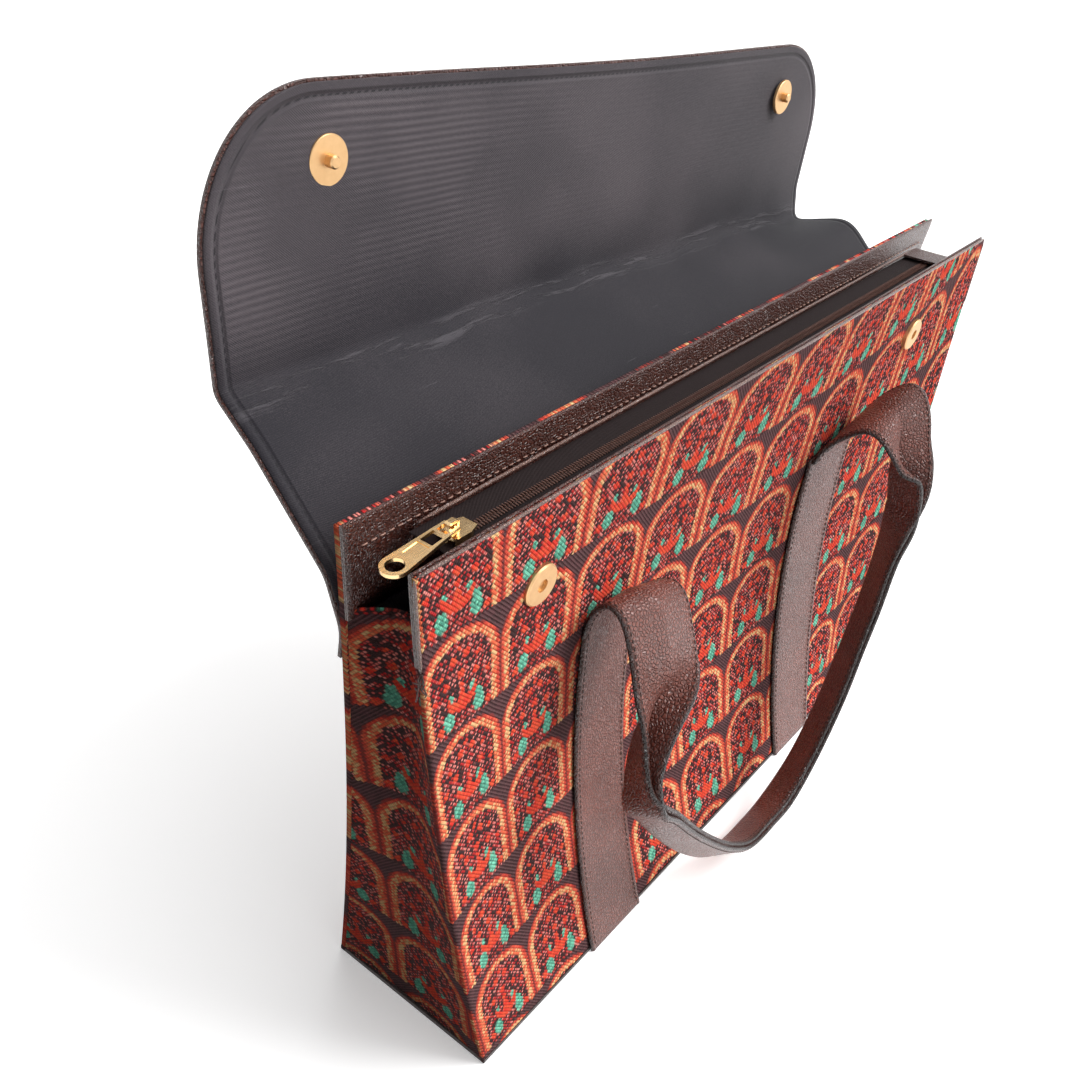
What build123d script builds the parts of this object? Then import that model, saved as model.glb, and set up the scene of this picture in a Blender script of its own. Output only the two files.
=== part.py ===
from build123d import *
import os
from dataclasses import dataclass

# A tote bag that stands on its flat base. X runs along its width, its front faces -Y, and the
# origin is the middle of the base's underside. Every size is in millimetres.

# Bag body
top_width = 480.0
base_width = 406.0
base_depth = 96.0
front_height = 290.0
back_height = 294.0
mouth_depth = 36.0
mouth_shift = -18.0
front_sag = 12.0
back_sag = 5.0
wall_thickness = 2.2
base_thickness = 2.5
lining_thickness = 0.6
facing_thickness = 1.2
facing_height = 38.0
facing_rise = 0.8

# Gussets, which fold inwards towards the mouth
gusset_height = 256.0
gusset_thickness = 1.6
gusset_fold = 14.0
gusset_foot_fold = 1.5
gusset_corner = 9.0

# Zip, set below the front edge between the front facing and a leather strip
zip_depth = 6.0
zip_line = -22.0
zip_left = -215.0
zip_right = 204.0
tape_thickness = 0.6
tape_gap = 3.2
coil_width = 2.2
coil_height = 1.4
strip_thickness = 1.2
strip_top_y = -10.0
strip_rise = 2.0
strip_drop = 24.0
strip_inset = 4.0
tab_length = 15.0
tab_radius = 13.0
tab_drop = 9.0

# Zip slider and its pull
slider_x = -205.0
slider_length = 12.5
slider_width = 10.0
slider_tail_width = 6.5
slider_plate = 1.2
slider_flange = 0.8
slider_clearance = 0.3
wedge_length = 3.2
wedge_width = 2.4
bridge_gap = 2.8
bridge_wall = 1.0
bridge_width = 2.4
bridge_clearance = 0.5
pull_offset = 3.0
pull_rise = 2.0
pull_length = 32.0
pull_thickness = 1.4
pull_neck_width = 6.6
pull_ring_radius = 5.2
pull_hole_radius = 3.4
pull_droop = 7.0
pull_rail = 1.1
window_near = 4.4
window_far = 6.2
panel_length = 7.0
panel_recess = 0.3

# Straps: one band on each side of each handle, sewn up the walls
strap_width = 44.0
band_thickness = 2.0
band_foot_x = 97.5
band_spread = 12.5
strap_exit = 200.0
strap_thickness = 3.0
loop_clearance = 1.3
loop_radius = 17.0
loop_rise = 8.0
loop_drop = 22.0
fold_length = 46.0
grip_width = 22.0
grip_thickness = 6.0
front_grip_clearance = 14.0
back_grip_clearance = 5.0
grip_rise = 7.0

# Flap: sewn to the back wall, rising back to a crease and then standing upright
flap_thickness = 1.6
flap_lining_thickness = 0.8
flap_border = 2.5
seam_low = 230.0
seam_high = 242.0
seam_clearance = 0.05
flap_bend_y = 15.0
flap_bend_height = 262.0
flap_crease_y = 76.0
flap_crease_height = 297.0
flap_top_height = 395.0
flap_droop = 29.0
flap_overrun = 5.0
flap_top_y = 75.0
flap_inset = 8.0
flap_taper = 4.0
flap_corner = 55.0
flap_seam_radius = 20.0
flap_bend_radius = 12.0
flap_crease_radius = 7.0

# Magnetic snaps
snap_x = 170.0
snap_drop = 39.0
snap_radius = 9.0
snap_thickness = 2.0
snap_seat = 0.5
snap_edge = 0.6
stud_drop = 26.0
stud_radius = 2.4
stud_length = 3.5
socket_clearance = 0.4


@dataclass
class Wall:
    """Side view of a wall: a shallow curve from the edge of the base to the mouth."""

    foot: float
    top: float
    height: float
    sag: float

    def y(self, z):
        rise = z / self.height
        return self.foot + (self.top - self.foot) * rise + 4 * self.sag * rise * (1 - rise)

    def slope(self, z):
        rise = z / self.height
        return ((self.top - self.foot) + 4 * self.sag * (1 - 2 * rise)) / self.height

    def curve(self, shift):
        middle = (self.foot + self.top) / 2 + 2 * self.sag
        return Bezier(
            (0, self.foot + shift, 0),
            (0, middle + shift, self.height / 2),
            (0, self.top + shift, self.height),
        )

    def half_width(self, z):
        return (base_width + (top_width - base_width) * z / self.height) / 2

    def side(self):
        return -1 if self.foot < 0 else 1


front = Wall(-base_depth / 2, mouth_shift - mouth_depth / 2, front_height, front_sag)
back = Wall(base_depth / 2, mouth_shift + mouth_depth / 2, back_height, -back_sag)

flap_width = top_width - 2 * flap_inset
facing_low = front_height - facing_height
zip_level = front_height - zip_depth
front_facing_y = front.y(zip_level) + wall_thickness + facing_thickness
slider_top = zip_level + coil_height + slider_clearance + slider_plate
pull_level = slider_top + pull_rise
pull_x = slider_x - pull_offset
coil_left = slider_x - slider_length / 2 + wedge_length + slider_clearance


def side_sheet(edges, half_length):
    """A face drawn in the YZ plane, extruded both ways along X."""
    return extrude(make_face(edges), half_length, dir=(1, 0, 0), both=True)


def front_sheet(face, half_length=base_depth * 2):
    """A face drawn in the XZ plane, extruded both ways along Y."""
    return extrude(face, half_length, dir=(0, 1, 0), both=True)


def outline(points):
    """A closed XZ outline through the points, as a face."""
    return make_face(Polyline([(x, 0, z) for x, z in points], close=True))


def wall_layer(wall, near, far):
    """The layer of space between two depths behind a wall's outer surface."""
    near_curve = wall.curve(-wall.side() * near)
    far_curve = wall.curve(-wall.side() * far)
    ends = [Line(near_curve @ 0, far_curve @ 0), Line(near_curve @ 1, far_curve @ 1)]
    return side_sheet([near_curve, far_curve] + ends, top_width)


def wall_patch(wall, near, far, low, high):
    """Part of a wall's layer between two heights, as wide as the wall."""
    foot = wall.half_width(low)
    top = wall.half_width(high)
    corners = [(-foot, low), (foot, low), (top, high), (-top, high)]
    return wall_layer(wall, near, far) & front_sheet(outline(corners))


def inner_face(depth, low, high):
    """The side view of the space between the walls, at a depth behind their outer surfaces."""
    front_curve = front.curve(depth)
    back_curve = back.curve(-depth)
    ends = [Line(front_curve @ 0, back_curve @ 0), Line(front_curve @ 1, back_curve @ 1)]
    band = Plane.YZ * (Pos(0, (low + high) / 2) * Rectangle(2 * base_depth, high - low))
    return make_face([front_curve, back_curve] + ends) & band


def inner_space(depth, low, high):
    """The space between the front and back walls, wider than the bag."""
    return extrude(inner_face(depth, low, high), top_width, dir=(1, 0, 0), both=True)


def gusset_space(inset):
    """The space between the outer faces of the gussets, less an inset at each side."""

    def section(z, fold):
        x = front.half_width(z) - inset
        near = front.y(z)
        far = back.y(z)
        middle = (near + far) / 2
        edges = [
            Line((-x, near, z), (x, near, z)),
            ThreePointArc((x, near, z), (x - fold, middle, z), (x, far, z)),
            Line((x, far, z), (-x, far, z)),
            ThreePointArc((-x, far, z), (-x + fold, middle, z), (-x, near, z)),
        ]
        return make_face(edges)

    return loft([section(0, gusset_foot_fold), section(gusset_height, gusset_fold)], ruled=True)


def seat_plane(wall, x, z, depth):
    """A plane on a wall, looking outwards, set a depth into it."""
    outward = Vector(0, 1, -wall.slope(z)).normalized() * wall.side()
    origin = Vector(x, wall.y(z), z) - outward * depth
    return Plane(origin=origin, x_dir=(1, 0, 0), z_dir=outward)


def make_wall(wall):
    """The woven outer wall, from the base panel up to the mouth."""
    return wall_patch(wall, 0, wall_thickness, base_thickness, wall.height)


def make_facing(wall):
    """Leather inside the mouth, standing a little above the woven wall's edge."""
    near = wall_thickness
    facing = wall_patch(wall, near, near + facing_thickness, facing_low, wall.height)
    reach = wall.half_width(wall.height)
    low_y = wall.y(wall.height) - wall.side() * near
    high_y = low_y - wall.side() * facing_thickness
    centre = Pos(0, (low_y + high_y) / 2, wall.height + facing_rise / 2)
    return facing + centre * Box(2 * reach, facing_thickness, facing_rise)


def make_gussets(facings):
    """The two side walls, folded inwards at the middle and rounded at their top corners."""
    face = inner_face(wall_thickness, base_thickness, gusset_height)
    face = fillet(face.vertices().group_by(Axis.Z)[-1], gusset_corner)
    between = extrude(face, top_width, dir=(1, 0, 0), both=True)
    shell = ((gusset_space(0) - gusset_space(gusset_thickness)) & between) - facings
    sides = shell.solids().sort_by(Axis.X)
    return sides[0], sides[-1]


def make_base():
    """The flat base panel, whose underside is the bag's floor."""
    plate = Box(base_width, base_depth, base_thickness)
    return Pos(0, 0, base_thickness / 2) * plate


def make_lining():
    """The lining bag: a thin skin on the walls, gussets and base, open at the top."""
    outer = inner_space(wall_thickness, base_thickness, facing_low) & gusset_space(gusset_thickness)
    skin = lining_thickness
    hollow = inner_space(wall_thickness + skin, base_thickness + skin, back_height)
    return outer - (hollow & gusset_space(gusset_thickness + skin))


def make_zip_strip():
    """The leather strip behind the zip, slanting down to the back facing."""
    low = zip_level - strip_drop
    foot_y = back.y(low) - wall_thickness - facing_thickness
    top_z = zip_level + strip_rise
    face = make_face(
        Polyline(
            (0, strip_top_y, top_z),
            (0, strip_top_y + strip_thickness, top_z),
            (0, foot_y + strip_thickness, low),
            (0, foot_y, low),
            close=True,
        )
    )
    start = zip_left + strip_inset
    strip = extrude(face, zip_right - start, dir=(1, 0, 0))
    return (Pos(start, 0, 0) * strip) - wall_layer(back, 0, wall_thickness + facing_thickness)


def make_tape(near_y, far_y):
    """A flat tape as long as the zip, between two places across it."""
    middle = Pos((zip_left + zip_right) / 2, (near_y + far_y) / 2, zip_level - tape_thickness / 2)
    return middle * Box(zip_right - zip_left, far_y - near_y, tape_thickness)


def make_tapes(front_facing, strip):
    """The two tapes, which end against the facing and the strip."""
    inner = tape_gap / 2
    front_tape = make_tape(front_facing_y - facing_thickness / 2, zip_line - inner)
    back_tape = make_tape(zip_line + inner, strip_top_y + strip_thickness / 2)
    return front_tape - front_facing, back_tape - strip


def make_coil(side):
    """One row of the closed coil, lying on the inner edge of its tape."""
    length = zip_right - tab_radius - coil_left
    row = Box(length, coil_width, coil_height)
    row = fillet(row.edges().filter_by(Axis.X).group_by(Axis.Z)[-1], coil_height * 0.35)
    centre_y = zip_line + side * (coil_width / 2 + slider_clearance / 4)
    return Pos(coil_left + length / 2, centre_y, zip_level + coil_height / 2) * row


def tab_edge(level, radius):
    """One edge of the end tab's side view: flat, then a quarter turn, then straight down."""
    start = (zip_right - tab_length, 0, level)
    bend = (zip_right, 0, level)
    turned = (zip_right + radius, 0, level - radius)
    foot = (zip_right + radius, 0, level - radius - tab_drop)
    return [Line(start, bend), TangentArc(bend, turned, tangent=(1, 0, 0)), Line(turned, foot)]


def make_tab():
    """The leather tab that closes the zip's right end and curves down over it."""
    level = zip_level + coil_height
    under = tab_edge(level, tab_radius)
    over = tab_edge(level + strip_thickness, tab_radius + strip_thickness)
    ends = [Line(under[0] @ 0, over[0] @ 0), Line(under[-1] @ 1, over[-1] @ 1)]
    face = make_face(under + over + ends)
    width = strip_top_y - front_facing_y
    tab = extrude(face, width / 2, dir=(0, 1, 0), both=True)
    tab = Pos(0, (strip_top_y + front_facing_y) / 2, 0) * tab
    return tab - wall_layer(front, 0, wall_thickness + facing_thickness)


def make_slider():
    """Two plates joined by the wedge between the rows, with side flanges and the bridge."""
    half = slider_length / 2
    wide = slider_width / 2
    tail = slider_tail_width / 2
    shoulder = slider_length * 0.2
    plan = make_face(
        Polyline(
            (-half, -wide + shoulder / 2),
            (-half + shoulder / 2, -wide),
            (half - 2 * shoulder, -wide),
            (half, -tail),
            (half, tail),
            (half - 2 * shoulder, wide),
            (-half + shoulder / 2, wide),
            (-half, wide - shoulder / 2),
            close=True,
        )
    )
    low_channel = zip_level - tape_thickness - slider_clearance
    high_channel = slider_top - slider_plate
    low = low_channel - slider_plate
    body = Pos(0, 0, low) * extrude(plan, slider_top - low)
    channel = Box(2 * slider_length, slider_width - 2 * slider_flange, high_channel - low_channel)
    body -= Pos(0, 0, (high_channel + low_channel) / 2) * channel
    slot_height = tape_thickness + 2 * slider_clearance
    slot = Box(2 * slider_length, 2 * slider_width, slot_height)
    body -= Pos(0, 0, zip_level - tape_thickness / 2) * slot
    wedge_x = -half + wedge_length / 2
    wedge = Box(wedge_length, wedge_width, high_channel - low_channel)
    body += Pos(wedge_x, 0, (high_channel + low_channel) / 2) * wedge
    arch_height = pull_rise + pull_thickness / 2 + bridge_clearance + bridge_wall
    arch = Box(bridge_gap + 2 * bridge_wall, bridge_width, arch_height)
    arch = fillet(arch.edges().filter_by(Axis.Y).group_by(Axis.Z)[-1], bridge_wall)
    arch -= Pos(0, 0, -bridge_wall) * Box(bridge_gap, 2 * bridge_width, arch_height)
    body += Pos(-pull_offset, 0, slider_top + arch_height / 2) * arch
    return Pos(slider_x, zip_line, 0) * body


def make_pull():
    """The flat pull: round hinge bar, two windows, a recessed panel and a hole at its end."""
    ring_x = pull_length - pull_ring_radius
    neck = pull_neck_width / 2
    bar = pull_thickness / 2
    wide = pull_ring_radius
    plate = make_face(
        Polyline((0, -neck), (ring_x, -wide), (ring_x, wide), (0, neck), close=True)
    )
    plate += Pos(ring_x, 0) * Circle(pull_ring_radius)
    plate -= Pos(ring_x, 0) * Circle(pull_hole_radius)
    first = bar + window_near / 2
    plate -= Pos(first, 0) * Rectangle(window_near, pull_neck_width - 2 * pull_rail)
    second = bar + window_near + pull_rail + window_far / 2
    plate -= Pos(second, 0) * Rectangle(window_far, pull_neck_width - pull_rail)
    pull = Pos(0, 0, -bar) * extrude(plate, pull_thickness)
    pull += Rot(90, 0, 0) * Cylinder(bar, pull_neck_width)
    panel_x = second + window_far / 2 + pull_rail + panel_length / 2
    panel = Box(panel_length, pull_neck_width - pull_rail, 2 * panel_recess)
    pull -= Pos(panel_x, 0, bar) * panel
    pull = Rot(0, 0, 180) * pull
    return Pos(pull_x, zip_line, pull_level) * Rot(0, -pull_droop, 0) * pull


def make_band(wall, side):
    """A strap band sewn flat up a wall, from the base to where the handle leaves it."""
    low = base_thickness
    foot = band_foot_x
    top = band_foot_x + band_spread * strap_exit / front_height
    half = strap_width / 2
    foot_corners = [(foot - half, low), (foot + half, low)]
    top_corners = [(top + half, strap_exit), (top - half, strap_exit)]
    strip = wall_layer(wall, -band_thickness, 0)
    strip &= front_sheet(outline(foot_corners + top_corners))
    return strip if side > 0 else mirror(strip, Plane.YZ)


def make_handle(wall, clearance):
    """A handle: flat loops off the bands, folding in half into a grip that hangs in a U."""
    side = wall.side()
    root_y = wall.y(strap_exit) + side * (loop_clearance + strap_thickness / 2)
    leg_y = root_y + side * 2 * loop_radius
    grip_y = side * (base_depth / 2 + clearance + grip_width / 2)
    top_z = strap_exit + loop_rise
    leg_low = top_z - loop_drop
    fold_low = leg_low - fold_length
    centre_x = band_foot_x + band_spread * strap_exit / front_height
    half = strap_thickness / 2
    ring = Circle(loop_radius + half) - Circle(loop_radius - half)
    ring &= Pos(0, loop_radius) * Rectangle(4 * loop_radius, 2 * loop_radius)
    middle_y = (root_y + leg_y) / 2
    profile = Pos(middle_y, top_z) * ring
    profile += Pos(root_y, (strap_exit + top_z) / 2) * Rectangle(strap_thickness, loop_rise)
    profile += Pos(leg_y, (leg_low + top_z) / 2) * Rectangle(strap_thickness, loop_drop)
    loop = extrude(Plane.YZ * profile, strap_width / 2, both=True)
    wide_end = Plane.XY.offset(leg_low) * (Pos(0, leg_y) * Rectangle(strap_width, strap_thickness))
    narrow_end = Plane.XY.offset(fold_low) * (Pos(0, grip_y) * Rectangle(grip_thickness, grip_width))
    fold = loft([wide_end, narrow_end], ruled=True)
    drop = fold_low - grip_rise - grip_thickness / 2
    half_grip = grip_thickness / 2
    u_ring = Ellipse(centre_x + half_grip, drop + half_grip)
    u_ring -= Ellipse(centre_x - half_grip, drop - half_grip)
    u_ring &= Pos(0, -drop) * Rectangle(4 * centre_x, 2 * drop)
    grip = extrude(Plane.XZ * u_ring, grip_width / 2, both=True)
    handle = Pos(0, grip_y, fold_low) * grip
    for end in (-centre_x, centre_x):
        handle += Pos(end, 0, 0) * (loop + fold)
    return handle


def flap_fall(x):
    """How much lower the standing part of the flap hangs at x than in the middle."""
    return flap_droop * x / flap_width


def flap_points(x):
    """The flap's side view at x: its sewn edge on the back wall, a bend, the crease, the top."""
    seat = seam_clearance + flap_lining_thickness + flap_thickness / 2
    return [
        (back.y(seam_low) + seat, seam_low),
        (back.y(seam_high) + seat, seam_high),
        (flap_bend_y, flap_bend_height),
        (flap_crease_y, flap_crease_height - flap_fall(x)),
        (flap_top_y, flap_top_height + flap_overrun - flap_fall(x)),
    ]


def flap_section(x, near, far):
    """The flap's cut face at x, between two distances from its middle line."""
    near_line = shifted_line(flap_points(x), near)
    far_line = shifted_line(flap_points(x), far)
    ends = [Line(near_line @ 0, far_line @ 0), Line(near_line @ 1, far_line @ 1)]
    return Pos(x, 0, 0) * make_face([near_line, far_line] + ends)


def flap_sheet(near, far, border):
    """A layer of the flap between two distances from its middle line, less a border."""
    sections = [flap_section(side * flap_width, near, far) for side in (-1, 1)]
    layer = loft(sections, ruled=True)
    half = flap_width / 2 - border
    top_half = half - flap_taper
    top = flap_top_height - border
    left_top = (-top_half, top - flap_fall(-top_half))
    right_top = (top_half, top - flap_fall(top_half))
    shape = outline([(-half, 0), (half, 0), right_top, left_top])
    corners = shape.vertices().sort_by(Axis.Z)[-2:]
    shape = fillet(corners, flap_corner - border)
    return layer & front_sheet(shape)


def shifted_line(points, shift):
    """The flap's bent side line, moved sideways by a shift, with its bends kept concentric."""
    moved = []
    for index, point in enumerate(points):
        before = points[max(index - 1, 0)]
        after = points[min(index + 1, len(points) - 1)]
        start = Vector(*point) - Vector(*before)
        end = Vector(*after) - Vector(*point)
        start = start.normalized() if start.length else end.normalized()
        end = end.normalized() if end.length else start
        normal = Vector(-start.Y - end.Y, start.X + end.X).normalized()
        reach = shift / (normal.X * -start.Y + normal.Y * start.X)
        moved.append((0, point[0] + normal.X * reach, point[1] + normal.Y * reach))
    radii = [flap_seam_radius + shift, flap_bend_radius + shift, flap_crease_radius - shift]
    return FilletPolyline(*moved, radius=radii)


def make_socket(side):
    """The snap's socket half: a round plate with a hole for the stud."""
    height = snap_thickness + snap_seat
    plate = Cylinder(snap_radius, height, align=(Align.CENTER, Align.CENTER, Align.MIN))
    plate = chamfer(plate.faces().sort_by(Axis.Z)[-1].edges(), snap_edge)
    hole_depth = snap_thickness - snap_edge
    hole = Cylinder(stud_radius + socket_clearance, 2 * hole_depth)
    plate -= Pos(0, 0, height) * hole
    return seat_plane(front, side * snap_x, front_height - snap_drop, snap_seat) * plate


def make_stud(side):
    """The snap's stud half: a round plate with a short post, on the flap's lining."""
    height = snap_thickness / 2 + snap_seat
    standing = (Align.CENTER, Align.CENTER, Align.MIN)
    plate = Cylinder(snap_radius, height, align=standing)
    plate = chamfer(plate.faces().sort_by(Axis.Z)[-1].edges(), snap_edge / 2)
    post = Cylinder(stud_radius, stud_length, align=standing)
    post = chamfer(post.faces().sort_by(Axis.Z)[-1].edges(), snap_edge)
    plate += Pos(0, 0, height) * post
    rise = flap_top_height + flap_overrun - flap_crease_height
    lean = (flap_top_y - flap_crease_y) / rise
    climb = flap_top_height - stud_drop - flap_crease_height
    outward = Vector(0, -1, lean).normalized()
    stud_z = flap_crease_height + climb - flap_fall(side * snap_x)
    depth = flap_thickness / 2 + flap_lining_thickness - snap_seat
    origin = Vector(side * snap_x, flap_crease_y + lean * climb, stud_z) + outward * depth
    return Plane(origin=origin, x_dir=(1, 0, 0), z_dir=outward) * plate


def build():
    """Every piece of the bag, by the name of its node."""
    pieces = {}
    front_facing = make_facing(front)
    back_facing = make_facing(back)
    strip = make_zip_strip()
    sockets = {"left": make_socket(-1), "right": make_socket(1)}
    studs = {"left": make_stud(-1), "right": make_stud(1)}
    pieces["front_panel"] = make_wall(front) - sockets["left"] - sockets["right"]
    pieces["back_panel"] = make_wall(back)
    pieces["left_gusset"], pieces["right_gusset"] = make_gussets([front_facing, back_facing])
    pieces["base_panel"] = make_base()
    pieces["lining"] = make_lining()
    pieces["front_facing"] = front_facing
    pieces["back_facing"] = back_facing
    pieces["back_zip_strip"] = strip
    pieces["front_zip_tape"], pieces["back_zip_tape"] = make_tapes(front_facing, strip)
    pieces["front_zip_coil"] = make_coil(-1)
    pieces["back_zip_coil"] = make_coil(1)
    pieces["zip_end_tab"] = make_tab()
    pieces["zip_slider"] = make_slider()
    pieces["zip_pull"] = make_pull()
    walls = (("front", front, front_grip_clearance), ("back", back, back_grip_clearance))
    for name, wall, clearance in walls:
        pieces[f"{name}_left_band"] = make_band(wall, -1)
        pieces[f"{name}_right_band"] = make_band(wall, 1)
        pieces[f"{name}_handle"] = make_handle(wall, clearance)
    middle = flap_thickness / 2
    pieces["flap"] = flap_sheet(-middle, middle, 0)
    lining = flap_sheet(middle, middle + flap_lining_thickness, flap_border)
    pieces["flap_lining"] = lining - studs["left"] - studs["right"]
    for side in ("left", "right"):
        pieces[f"{side}_snap_socket"] = sockets[side]
        pieces[f"{side}_snap_stud"] = studs[side]
    return pieces


os.makedirs("parts", exist_ok=True)
for node, piece in build().items():
    piece.label = node
    export_step(piece, f"parts/{node}.step")
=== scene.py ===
"""Tote bag: how it looks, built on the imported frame."""
import math

import bpy
import numpy as np
from mathutils import Matrix, Vector


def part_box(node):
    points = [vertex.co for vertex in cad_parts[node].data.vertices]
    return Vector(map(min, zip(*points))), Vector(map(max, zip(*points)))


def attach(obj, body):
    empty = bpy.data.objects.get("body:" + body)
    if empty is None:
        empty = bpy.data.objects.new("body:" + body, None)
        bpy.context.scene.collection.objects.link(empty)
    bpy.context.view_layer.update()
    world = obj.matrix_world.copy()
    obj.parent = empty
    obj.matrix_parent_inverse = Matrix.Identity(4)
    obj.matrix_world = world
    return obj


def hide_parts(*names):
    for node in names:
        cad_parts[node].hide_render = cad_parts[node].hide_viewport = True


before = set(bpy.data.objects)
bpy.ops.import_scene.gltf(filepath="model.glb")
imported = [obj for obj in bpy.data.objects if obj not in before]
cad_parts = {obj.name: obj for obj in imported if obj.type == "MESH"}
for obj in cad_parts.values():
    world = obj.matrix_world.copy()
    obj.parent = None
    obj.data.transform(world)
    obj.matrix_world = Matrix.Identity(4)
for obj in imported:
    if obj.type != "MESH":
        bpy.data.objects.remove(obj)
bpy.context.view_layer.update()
rng = np.random.default_rng(7)
MM = 0.001

# ---------------------------------------------------------------- camera

# fitted to the photograph's seams, straps, snaps and base
camera = bpy.data.cameras.new("camera")
camera.sensor_width = 36.0
camera.lens = 37.5
camera.shift_x = 0.0133
camera.shift_y = 0.0278
camera_object = bpy.data.objects.new("camera", camera)
bpy.context.scene.collection.objects.link(camera_object)
look = Vector((0.6619, 0.4893, -0.5679)).normalized()
across = Vector((0.6282, -0.7754, 0.0640))
across = (across - look * across.dot(look)).normalized()
above = across.cross(look)
turn = Matrix((across, above, -look)).transposed().to_4x4()
camera_object.matrix_world = Matrix.Translation((-0.4444, -0.2284, 0.4893)) @ turn
bpy.context.scene.camera = camera_object
bpy.context.scene.view_settings.view_transform = "Standard"

# ---------------------------------------------------------------- shader values


class Value:
    """A number or vector in a shader tree, with arithmetic written as in Python."""

    def __init__(self, tree, socket):
        self.tree = tree
        self.socket = socket

    def math(self, operation, *others, clamp=False):
        node = self.tree.nodes.new("ShaderNodeMath")
        node.operation = operation
        node.use_clamp = clamp
        for slot, value in zip(node.inputs, (self,) + others):
            plug(self.tree, slot, value)
        return Value(self.tree, node.outputs[0])

    def __add__(self, other):
        return self.math("ADD", other)

    def __sub__(self, other):
        return self.math("SUBTRACT", other)

    def __rsub__(self, other):
        return (self * -1.0) + other

    def __mul__(self, other):
        return self.math("MULTIPLY", other)

    def __truediv__(self, other):
        return self.math("DIVIDE", other)

    def abs(self):
        return self.math("ABSOLUTE")

    def sin(self):
        return self.math("SINE")

    def sqrt(self):
        return self.math("SQRT")

    def min(self, other):
        return self.math("MINIMUM", other)

    def max(self, other):
        return self.math("MAXIMUM", other)

    def fract(self):
        return self.math("FRACT")

    def step(self, low, high):
        """0 below low, 1 above high, smooth between."""
        node = self.tree.nodes.new("ShaderNodeMapRange")
        node.interpolation_type = "SMOOTHSTEP"
        plug(self.tree, node.inputs[0], self)
        plug(self.tree, node.inputs[1], low)
        plug(self.tree, node.inputs[2], high)
        return Value(self.tree, node.outputs[0])


def plug(tree, slot, value):
    """Give a shader socket a constant or link another socket's value to it."""
    if isinstance(value, Value):
        tree.links.new(value.socket, slot)
    else:
        slot.default_value = value


def seen_by(tree, *rays):
    """1 for the named kinds of ray, 0 for the others."""
    node = tree.nodes.new("ShaderNodeLightPath")
    first, *others = (Value(tree, node.outputs[f"Is {ray} Ray"]) for ray in rays)
    for other in others:
        first = first.max(other)
    return first


class Shader:
    """A node material with one Principled surface."""

    def __init__(self, name, **settings):
        self.material = bpy.data.materials.new(name)
        self.material.use_nodes = True
        self.tree = self.material.node_tree
        self.surface = next(n for n in self.tree.nodes if n.type == "BSDF_PRINCIPLED")
        for key, value in settings.items():
            self.set(key.replace("_", " "), value)

    def set(self, key, value):
        plug(self.tree, self.surface.inputs[key], value)

    def node(self, kind, **inputs):
        made = self.tree.nodes.new(kind)
        for key, value in inputs.items():
            plug(self.tree, made.inputs[key.replace("_", " ")], value)
        return made

    def coords(self, name):
        """A vector stored on the mesh's points."""
        node = self.tree.nodes.new("ShaderNodeAttribute")
        node.attribute_name = name
        return Value(self.tree, node.outputs["Vector"])

    def place(self):
        """The point's own place on the object, in metres."""
        node = self.tree.nodes.new("ShaderNodeTexCoord")
        return Value(self.tree, node.outputs["Object"])

    def split(self, vector):
        node = self.node("ShaderNodeSeparateXYZ", Vector=vector)
        return [Value(self.tree, out) for out in node.outputs]

    def vector(self, x, y, z=0.0):
        node = self.tree.nodes.new("ShaderNodeCombineXYZ")
        for slot, value in zip(node.inputs, (x, y, z)):
            plug(self.tree, slot, value)
        return Value(self.tree, node.outputs[0])

    def vector_math(self, operation, output, *vectors):
        node = self.tree.nodes.new("ShaderNodeVectorMath")
        node.operation = operation
        for slot, value in zip(node.inputs, vectors):
            plug(self.tree, slot, value)
        return Value(self.tree, node.outputs[output])

    def scaled(self, vector, scale):
        return self.vector_math("MULTIPLY", "Vector", vector, scale)

    def distance(self, vector, point):
        return self.vector_math("DISTANCE", "Value", vector, point)

    def nearest(self, spot, discs, squash=1.0):
        """The distance to the nearest disc in radii; a disc is (across, up, radius)."""
        found = None
        for column, row, radius in discs:
            away = self.distance(spot, (column, row * squash, 0.0)) / radius
            found = away if found is None else found.min(away)
        return found

    def noise(self, vector, scale, detail=2.0, roughness=0.5):
        node = self.node("ShaderNodeTexNoise", Vector=vector, Scale=scale, Detail=detail,
                         Roughness=roughness)
        return Value(self.tree, node.outputs[0])

    def cell_edges(self, vector, scale):
        """The distance to the nearest edge between random cells."""
        node = self.node("ShaderNodeTexVoronoi")
        node.feature = "DISTANCE_TO_EDGE"
        plug(self.tree, node.inputs["Vector"], vector)
        plug(self.tree, node.inputs["Scale"], scale)
        return Value(self.tree, node.outputs["Distance"])

    def mix(self, factor, low, high):
        """A colour between two colours."""
        node = self.tree.nodes.new("ShaderNodeMix")
        node.data_type = "RGBA"
        plug(self.tree, node.inputs[0], factor)
        plug(self.tree, node.inputs[6], low)
        plug(self.tree, node.inputs[7], high)
        return Value(self.tree, node.outputs[2])

    def bump(self, height, distance, strength=1.0):
        """Fine relief on the surface and on its gloss coat; distance is in metres."""
        node = self.node("ShaderNodeBump", Strength=strength, Distance=distance, Height=height)
        self.tree.links.new(node.outputs[0], self.surface.inputs["Normal"])
        self.tree.links.new(node.outputs[0], self.surface.inputs["Coat Normal"])


def srgb(red, green, blue):
    """A colour read in 0-255 screen values, as the linear values shaders use."""
    linear = []
    for value in (red / 255, green / 255, blue / 255):
        linear.append(value / 12.92 if value < 0.04045 else ((value + 0.055) / 1.055) ** 2.4)
    return (*linear, 1.0)


# ---------------------------------------------------------------- materials

FULL_TURN = 2 * math.pi
CUT_EDGE = srgb(30, 17, 16)  # the paint on a strap's and the flap's cut edges


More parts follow.
